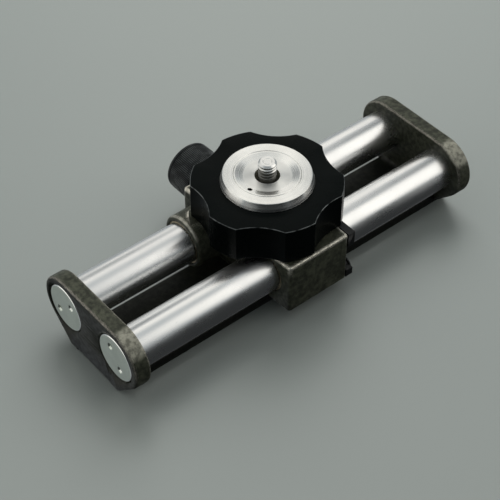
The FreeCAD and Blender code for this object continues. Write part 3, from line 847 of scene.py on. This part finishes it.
@dataclass
class RailFrame:
    """Casting, guide tubes, end plugs and tripod bush, all fixed together."""

    finishes: Finishes
    spacing: float = 28.0
    height: float = 17.0
    tube_radius: float = 7.5
    bore_radius: float = 6.0
    tube_half: float = 71.5
    plug_radius: float = 8.8
    plug_head: float = 2.95
    spigot: float = 9.0
    spigot_radius: float = 5.98
    rim_round: float = 0.65
    hole_radius: float = 0.80
    hole_depth: float = 1.4
    countersink: float = 0.5
    hole_circle: float = 4.4

    def build(self) -> None:
        """Make every piece of the fixed frame."""
        casting = cast_copy("rail_frame", "frame_casting")
        dress(casting, self.finishes.casting, "frame", ("rail_frame",))
        for side, sign in (("front", -1), ("rear", 1)):
            self.tube(side, sign * self.spacing / 2)
        for end, side, axis, sign, hole_angle in PLUG_PLACES:
            self.plug(f"{end}_{side}_plug", axis, sign, hole_angle)
        coat_node("tripod_bush", self.finishes.steel)

    def plug(self, node: str, axis: Axis, sign: int, hole_angle: float) -> None:
        """Make one end plug: a flat head with a rounded rim, two drilled holes and a spigot.

        Args:
            node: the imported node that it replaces.
            axis: the way its head faces.
            sign: minus one for the front tube, one for the rear one.
            hole_angle: turn in degrees of the first spanner hole about the plug's axis.
        """
        seat, face = self.tube_half, self.tube_half + self.plug_head
        section = Profile.rounded([
            (0.0, seat - self.spigot, 0),
            (self.bore_radius - 0.5, seat - self.spigot, 0.1),
            (self.spigot_radius, seat - self.spigot + 0.5, 0.1),
            (self.spigot_radius, seat, 0),
            (self.plug_radius, seat, 0.1),
            (self.plug_radius, face, self.rim_round),
            (0.0, face, 0),
        ], steps=8)
        origin = (0, sign * self.spacing / 2, self.height)
        head = Shell(f"{node}_head").turn(section, circle(96), ring=False, axis=axis, origin=origin)
        tip = Profile.rounded([
            (0.0, face - self.hole_depth - 0.4, 0),
            (self.hole_radius, face - self.hole_depth, 0.05),
            (self.hole_radius, face - self.countersink, 0.05),
            (self.hole_radius + self.countersink + 0.2, face + 0.2, 0),
            (0.0, face + 0.2, 0),
        ], steps=3)
        drill = Shell("spanner_drill")
        for turn in (math.radians(hole_angle), math.radians(hole_angle + 180)):
            aside = np.array(axis.value, float) @ np.array([math.cos(turn), math.sin(turn), 0])
            place = tuple(np.array(origin) + aside * self.hole_circle)
            drill.turn(tip, circle(24), ring=False, axis=axis, origin=place)
        piece = bored(head.build(), drill.build(), 30)
        dress(piece, self.finishes.plug, "frame", (node,))

    def tube(self, side: str, y: float) -> None:
        """Make one chromed tube, open right through, with rounded ends.

        Args:
            side: front or rear.
            y: where its axis lies.
        """
        half = self.tube_half
        section = Profile.rounded([
            (self.bore_radius, -half, 0.1),
            (self.tube_radius, -half, 0.2),
            (self.tube_radius, half, 0.2),
            (self.bore_radius, half, 0.1),
        ])
        shell = Shell(f"{side}_chromed_tube")
        shell.turn(section, circle(128), axis=Axis.RIGHT, origin=(0, y, self.height))
        dress(shell.build(), self.finishes.chrome, "frame", (f"{side}_tube",))


@dataclass
class Carriage:
    """Carriage casting with its cover, bearings and fasteners."""

    finishes: Finishes
    height: float = 17.0
    bearings: tuple[tuple[str, float, float, float], ...] = (
        ("front_bearing", -14.0, -11.8, 14.0),
        ("rear_bearing_left", 14.0, -25.6, -15.6),
        ("rear_bearing_right", 14.0, 15.6, 25.6),
    )
    bearing_inner: float = 7.55
    bearing_outer: float = 8.2
    cover_face: float = 16.8
    corner: Span = (-26.25, 26.25)
    corner_from: Span = (-25.4, 25.4)
    lip_from: tuple[float, float, float] = (-20.0, 10.5, 12.6)
    notch_drop: float = 1.8
    screw_places: tuple[Span, ...] = ((-22.8, 8.3), (-22.8, 23.2), (-1.2, 8.3), (-1.2, 23.2))
    screw_radius: float = 1.5
    screw_length: float = 3.2
    head_radius: float = 2.2
    head_height: float = 0.6
    key_radius: float = 1.2
    key_bottom: Span = (-0.5, -0.6)

    def build(self) -> None:
        """Make every piece that is fixed to the carriage, apart from the post's."""
        block = cast_copy("carriage_block", "carriage_casting")
        dress(block, self.finishes.block, "carriage", ("carriage_block",))
        cover = self.sharpened(cast_copy("end_cover", "carriage_end_cover"))
        dress(cover, self.finishes.cover, "carriage", ("end_cover",))
        for place in self.bearings:
            self.bearing(*place)
        self.cover_screws()

    def sharpened(self, cover: Piece) -> Piece:
        """Give the cover a square front top corner and a deeper notch, as the real one has.

        Points of the rounded corner go out to the corner itself, and the points of the
        notch's lower edge go down by a fixed drop.

        Args:
            cover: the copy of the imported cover.

        Returns:
            The same cover.
        """
        points = np.empty(len(cover.data.vertices) * 3, np.float32)
        cover.data.vertices.foreach_get("co", points)
        points = points.reshape(-1, 3)
        y, z = points[:, 1] / MM, points[:, 2] / MM
        (round_y, round_z), (lip_y, lip_low, lip_high) = self.corner_from, self.lip_from
        points[(y < round_y) & (z > round_z), 1:] = np.array(self.corner) * MM
        points[(y < lip_y) & (z > lip_low) & (z < lip_high), 2] -= self.notch_drop * MM
        cover.data.vertices.foreach_set("co", points.reshape(-1))
        merged(cover.data, 1e-5, 1e-6)
        return cover

    def bearing(self, node: str, y: float, start: float, end: float) -> None:
        """Make one bearing sleeve.

        Args:
            node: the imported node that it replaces.
            y: where its axis lies.
            start: its left end.
            end: its right end.
        """
        section = Profile.rounded([
            (self.bearing_inner, start, 0.12),
            (self.bearing_outer, start, 0.12),
            (self.bearing_outer, end, 0.12),
            (self.bearing_inner, end, 0.12),
        ])
        shell = Shell(f"{node}_sleeve")
        shell.turn(section, circle(96), axis=Axis.RIGHT, origin=(0, y, self.height))
        dress(shell.build(), self.finishes.bronze, "carriage", (node,))

    def cover_screws(self) -> None:
        """Make the cover's cap screws, each with a hexagon socket in its head.

        The socket's wall at angle a is its inner radius over the cosine of the angle
        from the middle of the nearest flat.
        """
        angles = circle(48)
        hexagon = self.key_radius / np.cos((angles % (math.pi / 3)) - math.pi / 6) - self.key_radius
        section = Profile.rounded([
            (0.0, -self.screw_length, 0),
            (self.screw_radius, -self.screw_length, 0.25),
            (self.screw_radius, 0.0, 0),
            (self.head_radius, 0.0, 0.1),
            (self.head_radius, self.head_height, 0.25),
            (self.key_radius, self.head_height, 0.1, 1),
            (self.key_radius, self.key_bottom[0], 0, 1),
            (0.0, self.key_bottom[1], 0),
        ])
        shell = Shell("cover_cap_screws", 35)
        for y, z in self.screw_places:
            shell.turn(section, angles, hexagon, False, axis=Axis.RIGHT, origin=(self.cover_face, y, z))
        dress(shell.build(), self.finishes.cover, "carriage", ("end_cover_screws",))


@dataclass
class CameraMount:
    """Post, camera screw, hand wheel and the bright platform that the wheel lifts."""

    finishes: Finishes
    wheel_radius: float = 26.0
    wheel_bottom: float = 26.8
    wheel_top: float = 40.75
    wheel_bore: float = 11.05
    hub_radius: float = 14.5
    hollow_radius: float = 21.0
    hollow_depth: float = 2.5
    pocket_radius: float = 13.0
    pocket_floor: float = 34.0
    lobes: int = 6
    lobe_start: float = 15.2
    lobe_half: float = 12.0
    scallop_bottom: float = 23.1
    disc_top: float = 43.8
    disc_bottom: float = 40.8
    disc_bore: float = 4.3
    spigot_radius: float = 12.95
    spigot_length: float = 2.2
    ring_radius: float = 12.45
    ring_depths: Span = (1.45, 0.55)
    rim_radius: float = 16.05
    face_radius: float = 15.15
    groove_radius: float = 11.45
    groove_half: float = 0.17
    groove_depth: float = 0.22
    dish_rim: float = 10.85
    dish_floor: float = 8.25
    dish_depth: float = 0.72
    pin_radius: float = 0.85
    pin_place: tuple[float, float, float] = (-9.28, -2.12, 0.0)
    screw_head: tuple[float, float, float] = (4.5, 6.0, 10.0)
    screw_socket: Span = (2.5, 8.4)
    shank_radius: float = 3.0
    thread_radius: float = 3.175
    thread_pitch: float = 1.27
    thread_depth: float = 0.78
    thread_start: float = 0.674
    thread_ends: Span = (42.9, 48.55)
    flank_slope: float = 2.7
    flank_rest: float = 0.17
    fade_start: float = 43.0
    fade_length: float = 0.9
    faded_depth: float = 0.17
    cone_start: float = 48.0
    cone_length: float = 0.45
    cone_radii: Span = (3.08, 2.52)
    cone_slope: float = 1.05
    tip_height: float = 49.1
    tip_radius: float = 2.5
    mark_radius: float = 1.5
    mark_half: float = 0.12

    def build(self) -> None:
        """Make the pieces on the post."""
        self.wheel()
        self.disc()
        self.screw()
        for node in ("platform_post", "post_dowels", "stop_ring", "platform_ring"):
            coat_node(node, self.finishes.steel)
        coat_node("guide_pin", self.finishes.pin)

    def disc(self) -> None:
        """Make the bright disc: a flat ring, a fine groove, a shallow dish and the pin's hole."""
        top, under, spigot = self.disc_top, self.disc_bottom, self.spigot_radius
        end, floor = under - self.spigot_length, top - self.dish_depth
        ring_low, ring_high = (under - depth for depth in self.ring_depths)
        section = Profile.rounded([
            (self.disc_bore, end, 0.1),
            (spigot, end, 0.15),
            (spigot, ring_low, 0.05),
            (self.ring_radius, ring_low, 0.02),
            (self.ring_radius, ring_high, 0.02),
            (spigot, ring_high, 0.05),
            (spigot, under, 0.02),
            (self.rim_radius, under, 0.1),
            (self.rim_radius - 0.1, under + 0.35, 0.1),
            (self.face_radius, top, 0.22),
            (self.groove_radius + self.groove_half, top, 0.05),
            (self.groove_radius, top - self.groove_depth, 0.04),
            (self.groove_radius - self.groove_half, top, 0.05),
            (self.dish_rim, top - 0.02, 0.12),
            (self.dish_floor, floor, 0.25),
            (self.disc_bore, floor - 0.02, 0.12),
        ])
        piece = Shell("bright_platform_disc", 24).turn(section, circle(160)).build()
        corners = ((0.0, under - 3), (self.pin_radius, under - 3), (self.pin_radius, top + 1), (0.0, top + 1))
        pin = Profile.rounded([(*corner, 0) for corner in corners], 2)
        drill = Shell("pin_drill").turn(pin, circle(24), ring=False, origin=self.pin_place)
        piece = bored(piece, drill.build(), 24)
        dress(piece, self.finishes.disc, "platform", ("camera_platform",))

    def outline(self) -> tuple[Array, Array]:
        """Angles round the wheel and its radius there, less the full radius.

        A lobe keeps the full radius. A scallop is a circle through its lowest point
        and both lobe corners: its centre lies outside the wheel, and a ray at angle d
        from the scallop's middle meets it at D cos d minus the root of its radius
        squared less D squared times sin d squared.

        Returns:
            The angles in radians and the ripple at each.
        """
        pitch = 360.0 / self.lobes
        first = np.linspace(-self.lobe_half, self.lobe_half, 9)[:-1]
        second = np.linspace(self.lobe_half, pitch - self.lobe_half, 29)[:-1]
        one_turn = np.concatenate([first, second])
        ends = np.radians(pitch / 2 - self.lobe_half)
        chord = self.wheel_radius * math.sin(ends)
        sagitta = self.wheel_radius * math.cos(ends) - self.scallop_bottom
        radius = (chord**2 + sagitta**2) / (2 * sagitta)
        distance = self.scallop_bottom + radius
        away = np.radians(one_turn - pitch / 2)
        root = np.sqrt(np.maximum(radius**2 - (distance * np.sin(away)) ** 2, 0))
        scallop = distance * np.cos(away) - root
        reach = np.where(one_turn > self.lobe_half - 1e-9, scallop, self.wheel_radius)
        starts = self.lobe_start + pitch * np.arange(self.lobes)
        angles = np.radians((starts[:, None] + one_turn[None, :]).reshape(-1))
        return angles, np.tile(reach - self.wheel_radius, self.lobes)

    def wheel(self) -> None:
        """Make the lobed hand wheel, hollow where the post and the platform fit."""
        low, high, hollow = self.wheel_bottom, self.wheel_top, self.wheel_bottom + self.hollow_depth
        section = Profile.rounded([
            (self.wheel_bore, low, 0.2),
            (self.hub_radius, low, 0.2),
            (self.hub_radius, hollow, 0.3),
            (self.hollow_radius, hollow, 0.3),
            (self.hollow_radius, low, 0.2),
            (self.wheel_radius, low, 0.45, 1),
            (self.wheel_radius, high, 0.45, 1),
            (self.pocket_radius, high, 0.15),
            (self.pocket_radius, self.pocket_floor, 0.1),
            (self.wheel_bore, self.pocket_floor, 0.15),
        ])
        shell = Shell("lobed_hand_wheel", 30).turn(section, *self.outline())
        dress(shell.build(), self.finishes.wheel, "wheel", ("hand_wheel",))

    def thread(self, angles: Array) -> tuple[Array, Array]:
        """Heights and radii of the screw's threaded part.

        Its outer radius is lessened by a depth times a triangle wave of the height
        over the pitch less the turn, so the crest climbs one pitch a turn. It fades
        out at the lower end and is cut by the tip's cone at the upper one.

        Args:
            angles: the columns' angles in radians.

        Returns:
            The heights, and a radius for each height and angle.
        """
        height = np.linspace(*self.thread_ends, 136)
        turned = height[:, None] / self.thread_pitch - angles / (2 * math.pi) - self.thread_start
        wave = np.clip(np.abs(turned % 1.0 - 0.5) * self.flank_slope - self.flank_rest, 0.0, 1.0)
        fade = np.clip((height - self.fade_start) / self.fade_length, 0, 1)[:, None]
        radius = self.thread_radius - self.thread_depth * (1 - wave) * fade - self.faded_depth * (1 - fade)
        shut = np.clip((height - self.cone_start) / self.cone_length, 0, 1)[:, None]
        widest, narrowest = self.cone_radii
        cone = np.minimum(widest, narrowest + (self.tip_height - height[:, None]) * self.cone_slope)
        return height, radius * (1 - shut) + cone * shut

    def screw(self) -> None:
        """Make the camera screw: head and shank, the threaded part, and a tip with a centre mark."""
        angles = circle(72)
        height, radius = self.thread(angles)
        (head, low, high), (socket, socket_top), top = self.screw_head, self.screw_socket, self.tip_height
        lower = Profile.rounded([
            (0.0, socket_top, 0),
            (socket, socket_top, 0),
            (socket, low, 0.1),
            (head, low, 0.4),
            (head, high, 0.1),
            (self.shank_radius, high, 0),
            (self.shank_radius, height[0], 0),
        ])
        upper = Profile.rounded([
            (float(radius[-1].max()), height[-1] + 0.01, 0),
            (self.tip_radius, top, 0.08),
            (self.mark_radius + self.mark_half, top, 0),
            (self.mark_radius, top - 0.08, 0.03),
            (self.mark_radius - self.mark_half, top, 0),
            (0.0, top, 0),
        ])
        below, above = (around(part.across[:, None], part.along, angles) for part in (lower, upper))
        points = np.concatenate([below, around(radius, height, angles), above])
        shell = Shell("camera_screw_with_thread", 32).grid(points, np.zeros(len(points)), ring=False)
        dress(shell.build(), self.finishes.screw, "carriage", ("camera_screw",))


@dataclass
class Clamp:
    """Clamp knob with its screw and pad, on an axis that runs to the rear."""

    finishes: Finishes
    height: float = 17.0
    neck_start: float = 31.2
    start: float = 32.6
    end: float = 44.8
    radius: float = 9.5
    back_radius: float = 8.3
    band_radius: float = 9.4
    band_width: float = 1.5
    groove_depth: float = 0.5
    groove_width: float = 0.35
    neck_radius: float = 6.2
    face_radius: float = 6.6
    face_sink: float = 0.4
    chamfer: float = 0.9
    teeth: int = 90
    tooth_slope: float = 2.4
    tooth_rest: float = 0.1
    knurl_depth: float = 0.34

    def build(self) -> None:
        """Make the knob and finish the screw and the pad."""
        self.knob()
        coat_node("clamp_screw", self.finishes.steel)
        coat_node("clamp_pad", self.finishes.brass)

    def knob(self) -> None:
        """Make the knob: the knurl is a triangle wave round its radius."""
        angles = circle(self.teeth * 6)
        phase = (angles * self.teeth / (2 * math.pi)) % 1.0
        wave = np.clip(np.abs(phase - 0.5) * self.tooth_slope - self.tooth_rest, 0, 1)
        start, end, groove = self.start, self.end, self.end - self.band_width
        root, band = self.band_radius - self.groove_depth, groove + self.groove_width
        section = Profile.rounded([
            (0.0, self.neck_start, 0),
            (self.neck_radius, self.neck_start, 0.2),
            (self.neck_radius, start, 0.2),
            (self.back_radius, start, 0.3),
            (self.radius, start + self.chamfer, 0.2, 1),
            (self.radius, groove, 0.08, 1),
            (root, groove, 0),
            (root, band, 0),
            (self.band_radius, band, 0.1),
            (self.band_radius, end, 0.5),
            (self.face_radius, end, 0.2),
            (self.neck_radius, end - self.face_sink, 0.2),
            (0.0, end - self.face_sink, 0),
        ])
        shell = Shell("knurled_clamp_knob", 34)
        # The knurl's crests are worn and painted lighter as a highlight.
        shell.turn(section, angles, -self.knurl_depth * wave, False, 1.0, Axis.REAR, (0, 0, self.height))
        dress(shell.build(), self.finishes.knob, "knob", ("clamp_knob",))


# Studio


@dataclass(frozen=True)
class Glow:
    """Soft patch of the surround that is brighter or darker than the rest.

    Attributes:
        azimuth: degrees from +Y towards +X.
        elevation: degrees above the floor.
        inner: degrees from its middle where it starts to fade.
        outer: degrees from its middle where it ends.
        gain: what it adds to the surround's strength.
    """

    azimuth: float
    elevation: float
    inner: float
    outer: float
    gain: float

    def direction(self) -> Colour:
        """Unit vector towards the patch's middle."""
        turn, lift = math.radians(self.azimuth), math.radians(self.elevation)
        return (math.sin(turn) * math.cos(lift), math.cos(turn) * math.cos(lift), math.sin(lift))


@dataclass(frozen=True)
class Studio:
    """Pale floor, a soft surround, one soft lamp and the camera at the photograph's angle."""

    target: Colour = (-7.49, 0.0, 12.40)
    toward_camera: Colour = (-0.44888, -0.54687, 0.70673)
    distance: float = 485.52
    lens: float = 100.8
    lamp_place: Colour = (430, 430, 740)
    lamp_target: Colour = (0, 0, 20)
    lamp_size: float = 0.7
    lamp_power: float = 5.6
    floor_reach: float = 3.0
    floor_colour: Colour = (0.280, 0.306, 0.292)
    surround: float = 0.36
    darkest: float = 0.03
    cool: Colour = (0.90, 0.97, 1.0)
    warm: Colour = (1.0, 0.985, 0.94)
    backdrop: float = 0.62
    backdrop_colour: Colour = (0.98, 1.0, 0.99)
    glows: tuple[Glow, ...] = (
        # Bright patches that the tubes' upper sides, the wheel's top and the disc mirror.
        Glow(126, 38, 16, 36, 0.84),
        Glow(32, 38, 16, 42, 0.60),
        Glow(322, 36, 16, 44, 0.42),
        Glow(0, 90, 10, 40, 0.16),
        # Dark wedges for the left and right sides of the disc's dish.
        Glow(66, 38, 6, 18, -0.62),
        Glow(13, 38, 6, 18, -0.78),
        # Bright patch on the left, for the edges that face that way.
        Glow(256, 21, 8, 24, 0.75),
        # Darker patches for the tubes' dark bands and for faces turned to the camera.
        Glow(152, -3, 8, 28, -0.32),
        Glow(222, 2, 30, 60, -0.30),
        Glow(219, -10, 34, 46, -0.34),
        Glow(150, -60, 34, 62, -0.34),
        # Darker patch for the left plugs, and bright ones near the horizon for rims.
        Glow(320, -52, 18, 30, -0.10),
        Glow(118, -6, 10, 20, 0.60),
        Glow(300, -6, 20, 30, 0.60),
    )

    def build(self) -> None:
        """Make the camera, floor, lamp and surround."""
        self.camera()
        self.floor()
        self.softbox()
        self.world()
        bpy.context.scene.view_settings.view_transform = "Standard"

    def camera(self) -> None:
        """Place the camera: its back axis points from the target to it, level with the floor."""
        back = Vector(self.toward_camera).normalized()
        right = Vector((0, 0, 1)).cross(back).normalized()
        up = back.cross(right)
        data = bpy.data.cameras.new("studio_camera")
        data.lens = self.lens
        data.sensor_width = 36.0
        data.clip_start = 0.01
        camera = bpy.data.objects.new("studio_camera", data)
        place = (Vector(self.target) + back * self.distance) * MM
        camera.matrix_world = Matrix.Translation(place) @ Matrix((right, up, back)).transposed().to_4x4()
        bpy.context.scene.collection.objects.link(camera)
        bpy.context.scene.camera = camera

    def floor(self) -> None:
        """Make the plain pale floor. What metal mirrors in its place is the surround below it."""
        mesh = bpy.data.meshes.new("studio_floor")
        edge = self.floor_reach
        corners = [(-edge, -edge, 0), (edge, -edge, 0), (edge, edge, 0), (-edge, edge, 0)]
        mesh.from_pydata(corners, [], [(0, 1, 2, 3)])
        floor = bpy.data.objects.new("studio_floor", mesh)
        bpy.context.scene.collection.objects.link(floor)
        bench = Bench("pale_floor")
        haze = bench.noise(bench.place(), 300.0, 2.0)
        darker = tuple(value * 0.96 for value in self.floor_colour)
        bench.set(base_color=bench.mix(haze, self.floor_colour, darker), roughness=0.30, specular=0.45)
        mirrored = bench.add("LightPath").outputs["Is Glossy Ray"]
        clear = bench.add("BsdfTransparent").outputs["BSDF"]
        surface = bench.choose(mirrored, bench.shader.outputs["BSDF"], clear)
        bench.feed(bench.output.inputs["Surface"], surface)
        mesh.materials.append(bench.material)

    def softbox(self) -> None:
        """Add one square lamp that faces the rail and that polished metal doesn't mirror."""
        data = bpy.data.lights.new("rear_softbox", "AREA")
        data.size = self.lamp_size
        data.energy = self.lamp_power
        lamp = bpy.data.objects.new("rear_softbox", data)
        lamp.location = Vector(self.lamp_place) * MM
        back = Vector(self.lamp_place) - Vector(self.lamp_target)
        lamp.rotation_euler = back.to_track_quat("Z", "Y").to_euler()
        lamp.visible_glossy = False
        bpy.context.scene.collection.objects.link(lamp)

    def world(self) -> None:
        """Make the surround: an even strength plus each glow, eased by the angle to its middle."""
        world = bpy.data.worlds.new("studio_world")
        world.use_nodes = True
        bpy.context.scene.world = world
        wiring = Wiring(world.node_tree)
        where = wiring.add("TexCoord").outputs["Generated"]
        level: float | Socket = self.surround
        for glow in self.glows:
            span = (math.cos(math.radians(glow.outer)), math.cos(math.radians(glow.inner)))
            patch = wiring.remap(wiring.dot(where, glow.direction()), *span, 0.0, glow.gain)
            level = wiring.math("ADD", patch, level)
        level = wiring.math("MAXIMUM", level, self.darkest)
        light = wiring.tree.nodes["Background"]
        wiring.feed(light.inputs["Color"], wiring.mix(wiring.remap(level, 0.4, 0.9), self.cool, self.warm))
        wiring.feed(light.inputs["Strength"], level)
        plain = wiring.add("Background", {"Color": self.backdrop_colour, "Strength": self.backdrop})
        seen = wiring.add("LightPath").outputs["Is Camera Ray"]
        surface = wiring.choose(seen, light.outputs[0], plain.outputs[0])
        wiring.feed(wiring.tree.nodes["World Output"].inputs["Surface"], surface)


def main() -> None:
    """Build the studio and every sub-assembly in order."""
    logging.basicConfig(level=logging.INFO, format="%(name)s: %(message)s")
    Studio().build()
    finishes = Finishes.mixed()
    for assembly in (RailFrame(finishes), Carriage(finishes), CameraMount(finishes), Clamp(finishes)):
        assembly.build()
        LOG.info("%s is dressed", type(assembly).__name__)


if __name__ == "__main__":
    main()
